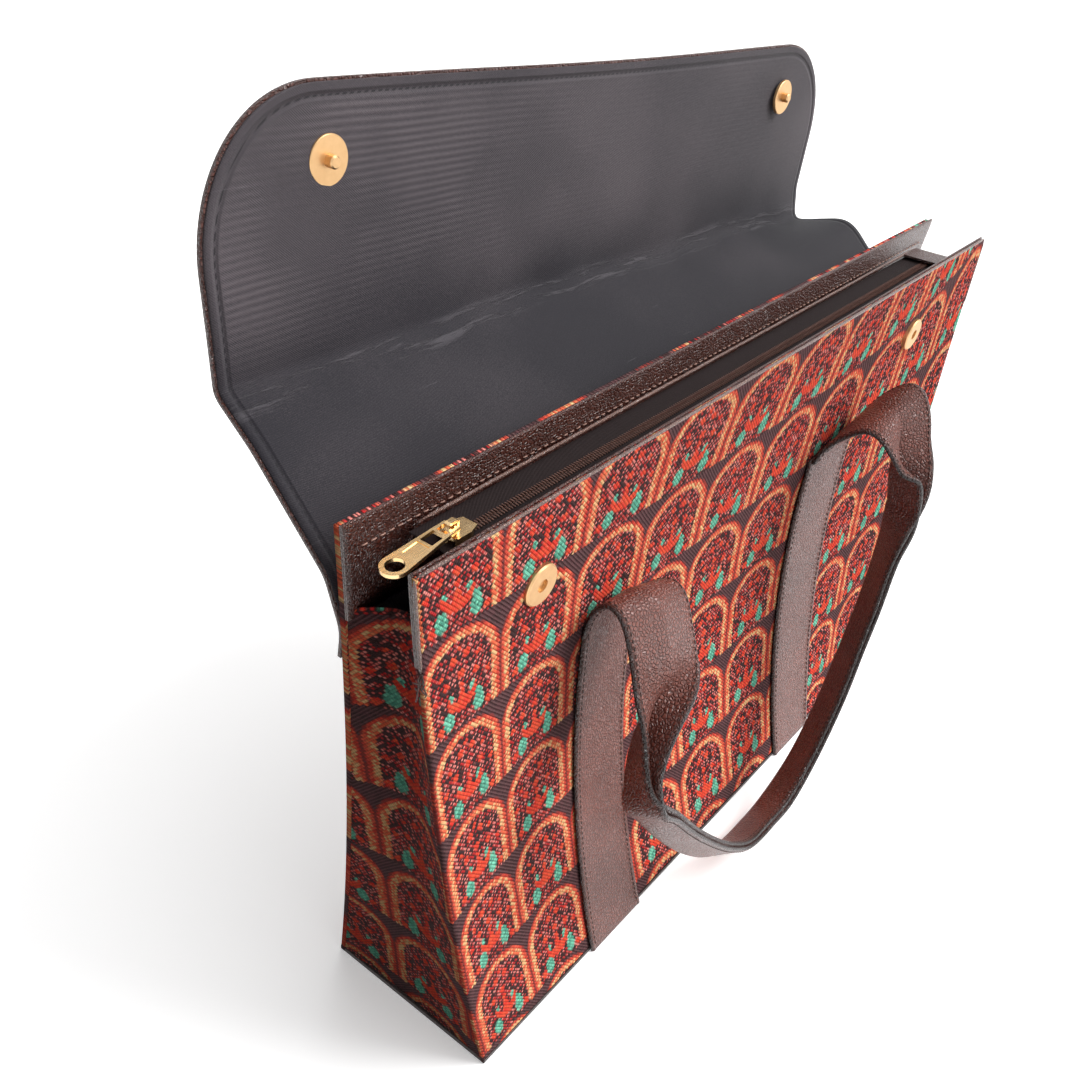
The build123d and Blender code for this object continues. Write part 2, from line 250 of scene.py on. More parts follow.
def leather(name, dark, light, rough, grain, relief, coat):
    """Pebbled leather with a mottled colour, and paint where the mesh's rim layer is 1.

    grain is the number of pebbles a metre, relief their height in metres.
    """
    shade = Shader(name, Coat_Weight=coat, Coat_Roughness=0.2, Specular_IOR_Level=0.45)
    place = shade.place()
    pebbles = shade.cell_edges(place, grain).step(0.0, 0.28)
    fine = shade.noise(place, grain * 2.0, 2.0)
    cloud = shade.noise(place, 38.0, 4.0, 0.6)
    tone = (cloud * 0.7 + pebbles * 0.45 - 0.1).math("ADD", fine * 0.2 - 0.1, clamp=True)
    # painted highlight: bright glints on some pebble tops, much lighter than the leather
    painted_light_mask = fine.step(0.62, 0.72) * pebbles * cloud.step(0.45, 0.6)
    rubbed_and_glint = tuple(min(1.0, c * 2.1 + 0.02) for c in light[:3]) + (1.0,)
    colour = shade.mix(painted_light_mask * 0.6, shade.mix(tone, dark, light), rubbed_and_glint)
    painted = shade.split(shade.coords("rim"))[0]
    shade.set("Base Color", shade.mix(painted, colour, CUT_EDGE))
    shade.set("Roughness", (fine * 0.22 + rough - 0.11).math("ADD", cloud * 0.12 - 0.06))
    shade.bump(pebbles + fine * 0.2, relief)
    return shade.material


# a cell's red blooms and green leaves: place across, place up and radius, in cells
BLOOMS = ((0.08, 0.715, 0.045), (-0.08, 0.715, 0.045), (0.0, 0.54, 0.045),
          (-0.18, 0.51, 0.042), (0.186, 0.483, 0.042), (-0.33, 0.42, 0.036),
          (0.326, 0.405, 0.036), (-0.295, 0.10, 0.045), (0.326, 0.07, 0.045),
          (0.0, 0.43, 0.035), (-0.24, 0.62, 0.03), (0.22, 0.64, 0.03), (0.0, 0.80, 0.03))
LEAVES = ((-0.185, 0.138, 0.074), (0.205, 0.13, 0.074), (-0.144, 0.353, 0.034),
          (0.136, 0.336, 0.04), (0.162, 0.28, 0.034), (0.215, 0.215, 0.045))


def threads(shade, flat):
    """Threads that lie as dashes on slanting ribs, over places in mm.

    Gives the place on a thread, along and across it from -0.5 to 0.5, and two values that
    are random from thread to thread, 0 to 1.
    """
    x, z = shade.split(flat)[:2]
    wander = shade.noise(flat, 0.05, 2.0) * 1.2
    a = (x - z) * 0.60
    b = (x + z + wander) * 0.47
    rib = b.math("FLOOR")
    a = a + rib * 0.5
    dash = a.math("FLOOR")
    fa, fb = a - dash - 0.5, b - rib - 0.5
    chance = shade.tree.nodes.new("ShaderNodeTexWhiteNoise")
    chance.noise_dimensions = "2D"
    plug(shade.tree, chance.inputs["Vector"], shade.vector(dash, rib))
    luck = Value(shade.tree, chance.outputs["Value"])
    return fa, fb, luck, shade.split(Value(shade.tree, chance.outputs["Color"]))[1]


def woven():
    """The arch pattern in woven threads.

    The mesh's cells layer counts arches across and rows down, its flat layer is in mm.
    """
    shade = Shader("woven_fabric", Specular_IOR_Level=0.1, Sheen_Weight=0.02, Roughness=0.9)
    flat = shade.coords("flat")
    fa, fb, luck, hue = threads(shade, flat)
    column, row = shade.split(shade.coords("cells"))[:2]
    # the pattern is drawn a thread at a time, so its edges step from thread to thread;
    # p runs across a cell from -0.5 to 0.5, q up it from 0 to 1
    p = (column - (fa * 0.78 + fb) * 0.0172).fract() - 0.5
    q = 1.0 - (row + (fb - fa * 0.78) * 0.018).fract()
    side = p.abs()
    # arches one inside the other, round above and straight below
    rise = ((q - 0.56) / 0.86).max(0.0)
    reach = (side * side + rise * rise).sqrt()
    inside = 1.0 - reach.step(0.495, 0.503)
    red_band = 1.0 - reach.step(0.480, 0.488)
    gold_band = 1.0 - reach.step(0.445, 0.455)
    field = 1.0 - reach.step(0.376, 0.384)
    ground = shade.mix(luck, srgb(36, 14, 24), srgb(74, 36, 46))
    red = shade.mix(luck, srgb(214, 44, 38), srgb(255, 110, 80))
    gold = shade.mix(luck.step(0.3, 0.8), srgb(252, 110, 72), srgb(255, 208, 146))
    teal = shade.mix(luck, srgb(60, 152, 128), srgb(136, 232, 198))
    speck = shade.mix(hue.step(0.2, 0.9), srgb(206, 26, 36), srgb(255, 150, 140))
    colour = shade.mix(inside, ground, srgb(150, 48, 46))
    colour = shade.mix(red_band, colour, red)
    colour = shade.mix(gold_band, colour, gold)
    dotted = shade.mix(luck.step(0.44, 0.5), ground, speck)
    colour = shade.mix(field, colour, dotted)
    # motifs in the arch's field
    blooms = shade.nearest(shade.vector(p, q), BLOOMS)
    bloom = 1.0 - blooms.step(0.85, 1.05)
    bright = shade.mix(luck, srgb(240, 44, 34), srgb(255, 96, 58))
    colour = shade.mix(bloom * field, colour, bright)
    leaves = shade.nearest(shade.vector(p, q * 0.72), LEAVES, 0.72)
    green = 1.0 - leaves.step(0.9, 1.02)
    colour = shade.mix(green * field, colour, teal)
    # the vase: a bowl, which is a disc less a higher disc, on a stem
    spot = shade.vector(p, q * 1.25)
    bowl = 1.0 - shade.distance(spot, (0.0, 0.40, 0.0)).step(0.185, 0.195)
    bowl = bowl * shade.distance(spot, (0.0, 0.50, 0.0)).step(0.165, 0.175)
    stem = (1.0 - (side * 2.4 + (q - 0.29)).step(0.125, 0.14)) * q.step(0.25, 0.27)
    vase = bowl.max(stem)
    colour = shade.mix(vase * field, colour, bright)
    # the top of the arch below shows as a thin red ring
    below = (q + 0.44) / 0.86
    echo = (side * side + below * below).sqrt()
    ring = 1.0 - (echo - 0.585).abs().step(0.010, 0.016)
    ring = ring * (1.0 - side.step(0.16, 0.2)) * (1.0 - q.step(0.12, 0.14))
    colour = shade.mix(ring, colour, srgb(196, 52, 48))
    # each dash is a small mound; between dashes the colour darkens, partly the dark ground
    # showing and partly painted shade in the valleys, most in the open field
    mound = 1.0 - (fa * fa * 1.5 + fb * fb * 1.9).step(0.10, 0.40)
    loose = field * (1.0 - bloom.max(green).max(vase))
    # painted shade with the dark ground: the colour between the mounds
    valley_ground_and_shade = shade.mix(loose * 0.5 + 0.34, colour, srgb(44, 14, 20))
    colour = shade.mix(mound.max((1.0 - inside) * 0.9), valley_ground_and_shade, colour)
    rib_line = (1.0 - inside) * (1.0 - fb.abs().step(0.12, 0.3))
    colour = shade.mix(rib_line * 0.32, colour, srgb(150, 108, 110))
    # painted highlight: whitish glints on the threads, where the fuzz noise is high
    fuzz = shade.noise(flat, 2.2, 2.0, 0.6)
    painted_thread_glint = shade.mix(0.4, colour, srgb(250, 214, 190))
    shade.set("Base Color", shade.mix(fuzz * 0.26 - 0.06, colour, painted_thread_glint))
    shade.bump(mound + fuzz * 0.4, 0.0005, 0.8)
    return shade.material


SEAM_IN = 4.2  # the flap's stitch line, in mm from its edge
CREASE = 101.0  # where the flap bends, in mm along it


def ribbed():
    """Charcoal lining with faint ribs along the flap, stitched near its edge; the ribs are
    painted as lit in patches towards the upper left and faint elsewhere.

    The mesh's flat layer holds mm across, mm along and mm from the edge.
    """
    shade = Shader("lining_fabric", Specular_IOR_Level=0.3, Sheen_Weight=0.08, Roughness=0.7)
    flat = shade.coords("flat")
    x, t, edge = shade.split(flat)
    fuzz = shade.noise(flat, 1.6, 3.0, 0.65)
    # painted light: the ribs' colour shows strongly only in patches above the crease and towards
    # the left, where light falls across them, and faintly elsewhere
    painted_light_mask = shade.noise(shade.scaled(flat, (0.010, 0.014, 0.0)), 1.0, 3.0, 0.6).step(0.36, 0.66)
    painted_light_mask = painted_light_mask * t.step(100.0, 150.0) * (1.0 - x.step(-150.0, 40.0) * 0.8)
    wander = shade.noise(shade.scaled(flat, (0.012, 0.02, 0.0)), 1.0, 2.0)
    rib = ((t + wander * 2.5) * (FULL_TURN / 2.6)).sin() * 0.5 + 0.5
    twill = ((x + t * 1.2) * (FULL_TURN / 1.1)).sin() * 0.5 + 0.5
    inner = edge.step(5.2, 6.8)
    shown = rib * painted_light_mask * inner
    haze = shade.noise(shade.scaled(flat, (0.008, 0.010, 0.0)), 1.0, 2.0)
    shadow = t.step(84.0, 150.0) * 0.30 + haze.step(0.3, 0.7) * 0.22
    tone = shown * 0.26 + fuzz * 0.60 + twill * 0.12 + shadow - 0.50
    colour = shade.mix(tone, srgb(28, 25, 33), srgb(122, 112, 116))
    dash = ((x - t) * (FULL_TURN / 3.4)).sin().step(-0.5, 0.1)
    seam = 1.0 - (edge - SEAM_IN).abs().step(0.2, 0.5)
    colour = shade.mix(seam * dash * 0.8, colour, srgb(16, 14, 20))
    rub = shade.noise(shade.scaled(flat, (0.016, 0.30, 0.0)), 1.0, 4.0, 0.7).step(0.66, 0.76)
    wrinkle = shade.noise(shade.scaled(flat, (0.02, 0.25, 0.0)), 1.0, 5.0, 0.7)
    crease = (1.0 - (t - CREASE).abs().step(2.0, 9.0)) * wrinkle.step(0.5, 0.62)
    colour = shade.mix((rub * 0.25).max(crease * 0.14), colour, srgb(146, 140, 146))
    shade.set("Base Color", colour)
    groove = 1.0 - (edge - SEAM_IN).abs().step(0.2, 1.8)
    shade.bump(shown * 0.3 + fuzz * 0.3 + twill * 0.15 - groove * 1.6 + crease * 0.8, 0.0005)
    return shade.material


def cloth(name, dark, light, pitch):
    """Plain close cloth for tapes and the lining bag; pitch is its thread spacing in mm."""
    shade = Shader(name, Specular_IOR_Level=0.3, Roughness=0.8)
    place = shade.scaled(shade.place(), (1 / MM, 1 / MM, 1 / MM))
    x, y, z = shade.split(place)
    warp = (x * (FULL_TURN / pitch)).sin()
    weft = ((y + z) * (FULL_TURN / pitch)).sin()
    fuzz = shade.noise(place, 0.8, 3.0, 0.6)
    shade.set("Base Color", shade.mix(fuzz * 0.7 + warp * weft * 0.15 + 0.15, dark, light))
    shade.bump(warp * weft + fuzz, 0.0002)
    return shade.material


def metal(name, dark, light, spread, rough):
    """Pale gold plating with fine scratches; its roughness runs over spread from rough."""
    shade = Shader(name, Metallic=1.0)
    place = shade.place()
    rubbed_and_glint = shade.noise(place, 300.0, 3.0)
    scratch = shade.noise(shade.scaled(place, (300.0, 2400.0, 300.0)), 1.0, 2.0)
    shade.set("Base Color", shade.mix(rubbed_and_glint, dark, light))
    shade.set("Roughness", rubbed_and_glint * spread + rough)
    shade.bump(scratch, 0.00004)
    return shade.material


def thread(name, dark, light):
    """Twisted sewing thread."""
    shade = Shader(name, Roughness=0.6)
    place = shade.place()
    ply = shade.noise(place, 1500.0, 2.0)
    shade.set("Base Color", shade.mix(ply, dark, light))
    shade.bump(ply, 0.0001)
    return shade.material


FABRIC = woven()
LINING = ribbed()
LEATHER = leather("leather", srgb(80, 42, 34), srgb(150, 90, 78), 0.34, 560.0, 0.0006, 0.3)
TRIM = leather("leather_trim", srgb(46, 20, 16), srgb(100, 52, 40), 0.34, 700.0, 0.0004, 0.6)
EDGE = leather("leather_edge", srgb(30, 17, 16), srgb(64, 40, 36), 0.45, 1100.0, 0.0004, 0.1)
# painted highlight: light leather for the edge piping, standing in for the glints along those
# edges
GLINT_EDGE_LEATHER = leather("leather_painted_glint", srgb(70, 42, 36), srgb(150, 112, 98), 0.3, 900.0, 0.0003, 0.8)
TAPE = cloth("zip_tape", srgb(20, 12, 13), srgb(48, 30, 30), 0.7)
COIL = cloth("zip_coil", srgb(96, 66, 58), srgb(170, 128, 114), 0.5)
INSIDE = cloth("inside_lining", srgb(40, 34, 38), srgb(62, 56, 58), 0.9)
METAL = metal("gold_metal", srgb(232, 190, 132), srgb(252, 222, 172), 0.14, 0.18)
WASHER = metal("washer_metal", srgb(204, 162, 114), srgb(228, 190, 142), 0.2, 0.34)
THREAD = thread("thread", srgb(34, 22, 20), srgb(84, 60, 54))
PALE_THREAD = thread("thread_pale", srgb(120, 84, 74), srgb(196, 156, 140))

# ---------------------------------------------------------------- mesh helpers


def piece(name, points, faces, material, slot, **layers):
    """A smooth mesh from points in mm that rides on the bag; layers are vectors a point."""
    mesh = bpy.data.meshes.new(name)
    mesh.from_pydata((np.asarray(points, dtype=float) * MM).tolist(), [], faces)
    mesh.polygons.foreach_set("use_smooth", [True] * len(mesh.polygons))
    for key, values in layers.items():
        layer = mesh.attributes.new(key, "FLOAT_VECTOR", "POINT")
        layer.data.foreach_set("vector", np.asarray(values, dtype=np.float32).ravel())
    mesh.materials.append(material)
    made = bpy.data.objects.new(name, mesh)
    bpy.context.scene.collection.objects.link(made)
    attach(made, "bag")
    return made


def normals_of(grid):
    """The surface direction at each point of a grid of points."""
    rows = np.gradient(grid, axis=0)
    cols = np.gradient(grid, axis=1)
    normal = np.cross(rows, cols)
    return normal / np.linalg.norm(normal, axis=2, keepdims=True)


def shell_faces(rows, cols, wrap=False):
    """Faces of a closed sheet: its outer grid, its inner grid and the rim between them."""
    faces = []
    size = rows * cols
    last = cols if wrap else cols - 1
    for i in range(rows - 1):
        for j in range(last):
            a, b = i * cols + j, i * cols + (j + 1) % cols
            faces.append((a, a + cols, b + cols, b))
            faces.append((a + size, b + size, b + cols + size, a + cols + size))
    edge = [(0, j, 0, (j + 1) % cols) for j in range(last)]
    edge += [(rows - 1, (j + 1) % cols, rows - 1, j) for j in range(last)]
    if not wrap:
        edge += [(i + 1, 0, i, 0) for i in range(rows - 1)]
        edge += [(i, cols - 1, i + 1, cols - 1) for i in range(rows - 1)]
    for i, j, k, l in edge:
        a, b = i * cols + j, k * cols + l
        faces.append((a, b, b + size, a + size))
    return faces


def shell(name, grid, thickness, material, slot, **layers):
    """A closed sheet with its outer face on the grid and its thickness behind it."""
    grid = np.asarray(grid, dtype=float)
    inner = grid - normals_of(grid) * thickness
    inner[:, :, 2] = np.maximum(inner[:, :, 2], 0.0)  # nothing goes through the floor
    points = np.concatenate([grid.reshape(-1, 3), inner.reshape(-1, 3)])
    both = {key: np.concatenate([value.reshape(-1, 3)] * 2) for key, value in layers.items()}
    return piece(name, points, shell_faces(*grid.shape[:2]), material, slot, **both)


def smooth_path(points, steps):
    """A Catmull-Rom curve through the points, steps to a span."""
    points = np.asarray(points, dtype=float)
    padded = np.concatenate([[2 * points[0] - points[1]], points, [2 * points[-1] - points[-2]]])
    made = []
    for i in range(1, len(padded) - 2):
        a, b, c, d = padded[i - 1:i + 3]
        for k in range(steps):
            t = k / steps
            made.append(0.5 * (2 * b + (c - a) * t + (2 * a - 5 * b + 4 * c - d) * t * t
                               + (3 * b - a - 3 * c + d) * t ** 3))
    made.append(padded[-2])
    return np.array(made)


def tube(points, radius, sides):
    """Points and faces of a closed tube along a path, with narrow ends."""
    points = np.asarray(points, dtype=float)
    along = np.gradient(points, axis=0)
    along /= np.linalg.norm(along, axis=1, keepdims=True)
    u = np.cross(along, (0.31, 0.87, 0.39))  # a direction that no path takes
    u /= np.linalg.norm(u, axis=1, keepdims=True)
    v = np.cross(along, u)
    angle = np.arange(sides) * FULL_TURN / sides
    sizes = np.full(len(points), radius)
    sizes[0] = sizes[-1] = radius * 0.35
    rings = points[:, None] + sizes[:, None, None] * (
        np.cos(angle)[None, :, None] * u[:, None] + np.sin(angle)[None, :, None] * v[:, None])
    faces = [tuple(range(sides))[::-1],
             tuple((len(points) - 1) * sides + k for k in range(sides))]
    for i in range(len(points) - 1):
        for k in range(sides):
            a, b = i * sides + k, i * sides + (k + 1) % sides
            faces.append((a, b, b + sides, a + sides))
    return rings.reshape(-1, 3), faces


def tubes(name, paths, radius, material, slot, sides=5):
    """Many short tubes as one piece."""
    points, faces = [], []
    for path in paths:
        ring, around = tube(path, radius, sides)
        start = len(points)
        points.extend(ring)
        faces.extend(tuple(start + k for k in face) for face in around)
    return piece(name, points, faces, material, slot)


def stitch_paths(path, lift, pitch=3.4, length=2.5):
    """Short arched stitches along a path, standing off it by lift, a direction a point."""
    path = np.asarray(path, dtype=float)
    lift = np.asarray(lift, dtype=float) * np.ones_like(path)
    reach = np.r_[0, np.cumsum(np.linalg.norm(np.diff(path, axis=0), axis=1))]
    made = []
    for start in np.arange(1.0, reach[-1] - length, pitch):
        at = start + length * np.array([0, 0.2, 0.5, 0.8, 1.0])
        high = np.array([-0.35, 0.05, 0.15, 0.05, -0.35])
        spot = np.stack([np.interp(at, reach, path[:, k]) for k in range(3)], 1)
        away = np.stack([np.interp(at, reach, lift[:, k]) for k in range(3)], 1)
        made.append(spot + away * high[:, None])
    return made


# ---------------------------------------------------------------- the bag's surfaces, in mm

HIGH = 290.0  # the front wall
BACK_HIGH = 294.0
BASE_HALF = 203.0  # half the base's width
FLARE = 37.0  # how much more half the mouth's width is
BASE_DEEP = 48.0  # from the bag's middle to a wall at the base
GUSSET_HIGH = 256.0
SEAM = 0.3  # from a wall's side edge to its gusset
CORNER_PULL = 4.0  # how far the front's right top corner is pulled out


def front_half(z):
    """Half the front wall's width at a height."""
    r = z / HIGH
    return BASE_HALF + FLARE * r + 14.0 * r * (1 - r)


def front_y(x, z):
    """Where the front wall's outer face is."""
    r = np.clip(z / HIGH, 0, 1.02)
    u = np.clip(np.abs(x) / front_half(z), 0, 1)
    sag = 4 * r * (1 - r) * (22 * (1 - u ** 2) + 3 * u ** 2)
    return -BASE_DEEP + 12 * r + sag


def back_y(z):
    """Where the back wall's outer face is."""
    r = z / BACK_HIGH
    return BASE_DEEP - 48 * r - 20 * r * (1 - r)


def back_wall_y(x, z):
    """The same for a whole grid of places."""
    return back_y(z) + 0 * x


def back_half(z):
    return BASE_HALF + FLARE * z / BACK_HIGH


def pattern_cells(u, r):
    """Pattern coordinates of a wall from its fractions across, -1 to 1, and up, 0 to 1.

    The polynomials are fitted to the arches' places in the photograph.
    """
    column = (4.4962 - 0.0706 * r + 0.1862 * r * r + u * (4.2565 - 0.353 * r + 0.3893 * r * r)
              + u * u * (0.2396 + 0.0734 * r) + 0.5356 * u ** 3)
    row = (6.2398 - 6.578 * r + 0.4058 * r * r + u * (0.1202 - 1.0789 * r + 0.9914 * r * r)
           + u * u * (0.28 + 0.3394 * r) + 0.3107 * u ** 3)
    return np.stack([column, row, 0 * row], -1)


def front_across(u, z):
    """Places across the front wall; its right top corner is pulled out a little."""
    return u * front_half(z) + CORNER_PULL * np.maximum(u, 0) ** 3 * (z / HIGH) ** 2


def back_across(u, z):
    return u * back_half(z)


def wall_grid(y_of, x_of, top, columns, rows):
    """Points, pattern cells and flat places over a wall."""
    z, u = np.meshgrid(np.linspace(0, top, rows), np.linspace(-1, 1, columns), indexing="ij")
    x = x_of(u, z)
    cells = pattern_cells(x / (BASE_HALF + FLARE * z / HIGH), z / HIGH)
    return np.stack([x, y_of(x, z), z], -1), cells, np.stack([x, z, 0 * z], -1)


grid, cells, flat = wall_grid(front_y, front_across, HIGH, 170, 110)
grid, cells, flat = grid[:, ::-1], cells[:, ::-1], flat[:, ::-1]
front_panel = shell("front_panel_fabric", grid, 1.6, FABRIC, "woven_fabric",
                    cells=cells, flat=flat)
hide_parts("front_panel")
grid, cells, flat = wall_grid(back_wall_y, back_across, BACK_HIGH, 120, 80)
back_panel = shell("back_panel_fabric", grid, 2.4, FABRIC, "woven_fabric",
                   cells=cells, flat=flat)
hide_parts("back_panel")


def gusset_fold(t, z):
    """How far a gusset is folded in, at t from its front seam, 0, to its back seam, 1."""
    return (1.5 + 12.5 * z / GUSSET_HIGH) * np.sin(math.pi * t) ** 1.3


def gusset_grid(side):
    """A side wall folded inwards along its middle; side is -1 or 1."""
    r, t = np.meshgrid(np.linspace(0, 1, 60), np.linspace(0, 1, 40), indexing="ij")
    # the top edge drops near both seams
    edge = 1 - np.maximum(0, np.abs(2 * t - 1) - 0.72) / 0.28
    z = (GUSSET_HIGH - 7 * (1 - edge) ** 2) * r
    front_x, rear_x = front_half(z) - SEAM, back_half(z) - SEAM
    near, far = front_y(front_x + SEAM, z) + 0.8, back_y(z) - 0.8
    x = side * (front_x + (rear_x - front_x) * t - gusset_fold(t, z))
    return np.stack([x, near + (far - near) * t, z], -1)


for side, name in ((-1, "left"), (1, "right")):
    grid = gusset_grid(side)
    depth = grid[:, :, 1]
    cells = np.stack([(depth + 17) / 49.0 + 4.5, 5 + (206 - grid[:, :, 2]) / 48.0, 0 * depth], -1)
    flat = np.stack([depth, grid[:, :, 2], 0 * depth], -1)
    if side > 0:
        grid, cells, flat = grid[:, ::-1], cells[:, ::-1], flat[:, ::-1]
    gusset = shell(name + "_gusset_fabric", grid, 1.4, FABRIC, "woven_fabric",
                   cells=cells, flat=flat)
    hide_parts(name + "_gusset")

# ---------------------------------------------------------------- lining bag

FACING_LOW = 252.0  # the facings' lower edge, where the lining is sewn on
LINING_IN = 2.8  # from a wall's outer face to the lining

around = []
t = np.linspace(0, 1, 24)
for z in np.linspace(4.0, FACING_LOW, 40):
    front_x, rear_x = front_half(z) - SEAM, back_half(z) - SEAM
    near, far = front_y(front_x, z) + LINING_IN, back_y(z) - LINING_IN
    along = (2.0 + (far - near) * t) / (far - near + 4.0)
    side_x = front_x + (rear_x - front_x) * along - gusset_fold(along, z) - 2.9
    right_run = np.stack([side_x, near + (far - near) * t, 0 * t + z], -1)
    left_run = np.stack([-side_x, near + (far - near) * t, 0 * t + z], -1)[::-1]
    x = np.linspace(-side_x[0], side_x[0], 62)[1:-1]
    front_run = np.stack([x, front_y(x, z) + LINING_IN, 0 * x + z], -1)
    x = np.linspace(side_x[-1], -side_x[-1], 62)[1:-1]
    back_run = np.stack([x, 0 * x + back_y(z) - LINING_IN, 0 * x + z], -1)
    around.append(np.concatenate([front_run, right_run, back_run, left_run]))
around = np.array(around)
rows, cols = around.shape[:2]
inner = around - normals_of(around) * 0.7
points = np.concatenate([around.reshape(-1, 3), inner.reshape(-1, 3)])
faces = shell_faces(rows, cols, wrap=True)
faces.append(tuple(range(cols))[::-1])
faces.append(tuple(rows * cols + k for k in range(cols)))
lining = piece("lining_bag", points, faces, INSIDE, "lining_fabric")
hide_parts("lining")

# ---------------------------------------------------------------- facings over the mouth's edges


def facing(name, y_of, x_of, top, outward, node, skin):
    """Leather facing inside a wall's top edge; outward is -1 at the front, 1 at the back."""
    u = np.linspace(-1, 1, 150)
    section = [(-0.1, FACING_LOW), (-0.1, top - 20), (-0.1, top - 2), (-0.15, top + 0.4),
               (-0.6, top + 0.95), (-1.2, top + 0.75), (-1.6, top - 0.2), (-1.7, top - 6),
               (-1.7, top - 20), (-1.7, FACING_LOW)]
    profile = smooth_path([(away, z, 0) for away, z in section], 3)
    grid = np.zeros((len(profile), len(u), 3))
    for i, (away, z, _) in enumerate(profile):
        x = x_of(u, z)
        y = y_of(x, min(z, top)) + outward * (away - skin)
        grid[i] = np.stack([x, y, 0 * x + z], -1)
    if outward < 0:
        grid = grid[:, ::-1]
    made = shell(name, grid, 0.7, TRIM, "leather")
    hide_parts(node)


facing("front_facing_leather", front_y, front_across, HIGH, -1, "front_facing", 1.6)
facing("back_facing_leather", back_wall_y, back_across, BACK_HIGH, 1, "back_facing", 2.5)


def facing_stitches(name, y_of, half_of, top, outward, deep):
    """A sewn line on a facing, 11 mm below the mouth's edge."""
    x = np.linspace(-1, 1, 120) * (half_of(top) - 8)
    z = np.full_like(x, top - 11.0)
    path = np.stack([x, y_of(x, z) - outward * deep, z], -1)
    tubes(name, stitch_paths(path, (0, -outward * 1.0, 0), 4.2, 3.0), 0.32, PALE_THREAD,
          "leather")


facing_stitches("back_facing_stitches", back_wall_y, back_half, BACK_HIGH, 1, 4.25)
facing_stitches("front_facing_stitches", front_y, front_half, HIGH, -1, 3.35)

# ---------------------------------------------------------------- zip

LEVEL = 284.0  # the tapes' upper face
ZIP_Y = -22.0  # the line between the two rows of coil
TOOTH_PITCH = 1.5

# the front tape sags a little between the facing and the coil
u, x = np.meshgrid(np.linspace(0, 1, 16), np.linspace(-215.0, 203.5, 130), indexing="ij")
near = front_y(x, LEVEL) + 3.0
sagging = LEVEL - 1.0 * np.sin(math.pi * u) + 0 * x
grid = np.stack([x, near + (ZIP_Y - 0.5 - near) * u, sagging], -1)
front_tape = shell("front_tape_cloth", grid[:, ::-1], 0.6, TAPE, "zip_tape")
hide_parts("front_zip_tape")


def coil_teeth(name, side, node):
    """One row of the closed zip's coil, tooth by tooth, low enough for the pull to clear."""
    low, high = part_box(node)
    shift = 0.0 if side < 0 else TOOTH_PITCH / 2
    paths = []
    for x in np.arange(low[0] / MM + 0.6, high[0] / MM - 0.4, TOOTH_PITCH) + shift:
        paths.append([(x, ZIP_Y + side * 2.5, LEVEL - 0.35),
                      (x, ZIP_Y + side * 2.0, LEVEL - 0.16),
                      (x, ZIP_Y + side * 0.7, LEVEL - 0.13),
                      (x + 0.1, ZIP_Y - side * 0.2, LEVEL - 0.2)])
    made = tubes(name, paths, 0.40, COIL, "zip_coil")
    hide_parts(node)


coil_teeth("front_coil_teeth", -1, "front_zip_coil")
coil_teeth("back_coil_teeth", 1, "back_zip_coil")

# leather piping along the strip's front edge, the front wall's side edges and its top edge, light
# in colour as a painted highlight for the glints on these edges
low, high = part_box("back_zip_strip")
x = np.linspace(low[0] / MM + 0.5, high[0] / MM - 0.5, 60)
paths = [np.stack([x, 0 * x + low[1] / MM + 0.5, 0 * x + high[2] / MM + 0.1], -1)]
for side in (-1, 1):
    z = np.linspace(251.0, 289.6, 14)
    x = side * (front_half(z) + 0.2) + (CORNER_PULL * (z / HIGH) ** 2 if side > 0 else 0.0)
    paths.append(np.stack([x, front_y(side * front_half(z), z) + 0.4, z], -1))
x = np.linspace(-239.6, 243.4, 90)
paths.append(np.stack([x, 0 * x - 35.7, 0 * x + 290.3], -1))
tubes("painted_glint_edges", paths, 0.75, GLINT_EDGE_LEATHER, "leather", sides=8)


def loose_thread(start, towards, length):
    """A sewing thread's end, curling a little."""
    start, towards = np.array(start, dtype=float), np.array(towards, dtype=float)
    knots = [start + towards * length * t + rng.normal(0, 1.3, 3) * t for t in (0, .3, .6, .8, 1)]
    return smooth_path(knots, 6)


corner = (-236.9, -36.6, 251.0)
ends = [loose_thread(corner, way, long) for way, long in (
    ((-0.2, -0.3, -0.9), 7.0), ((-0.5, 0.1, -0.8), 5.0), ((-0.1, -0.4, -0.9), 9.0),
    ((-0.4, -0.2, -0.9), 10.0), ((-0.2, -0.5, -0.7), 5.0), ((-0.6, -0.1, -0.5), 5.0))]
tubes("loose_threads", ends, 0.25, THREAD, "leather")

# ---------------------------------------------------------------- bands and handles

STRAP_HALF = 22.0  # half a strap's width
STRAP_THICK = 2.7
BAND_HIGH = 200.0  # how far up the wall a band is sewn on


def band_middle(side, z):
    """The middle of a band at a height; side is -1 or 1."""
    return side * (97.5 + 12.5 * z / HIGH)


def from_edge(u):
    """How far a point of a strap is from its nearer edge; u runs from -1 to 1 across it."""
    return (1 - np.abs(u)) * STRAP_HALF


def painted_rim(u):
    """The rim layer of a strap: 1 on its cut edges, 0 elsewhere."""
    rim = np.clip(1.6 - from_edge(u), 0, 1)
    return np.stack([rim, 0 * rim, 0 * rim], -1)


def band_points(y_of, outward, side):
    """Points of a band over its wall, about 2.3 mm proud, with rounded and raised edges."""
    z, u = np.meshgrid(np.linspace(0.5, BAND_HIGH, 70), np.linspace(-1, 1, 41), indexing="ij")
    x = band_middle(side, z) + u * STRAP_HALF
    edge = np.clip(from_edge(u) / 2.2, 0, 1)
    proud = 1.2 + 1.1 * np.sqrt(1 - (1 - edge) ** 2) + 0.35 * np.exp(-(from_edge(u) - 1.6) ** 2)
    return np.stack([x, y_of(x, z) + outward * proud, z], -1), painted_rim(u)


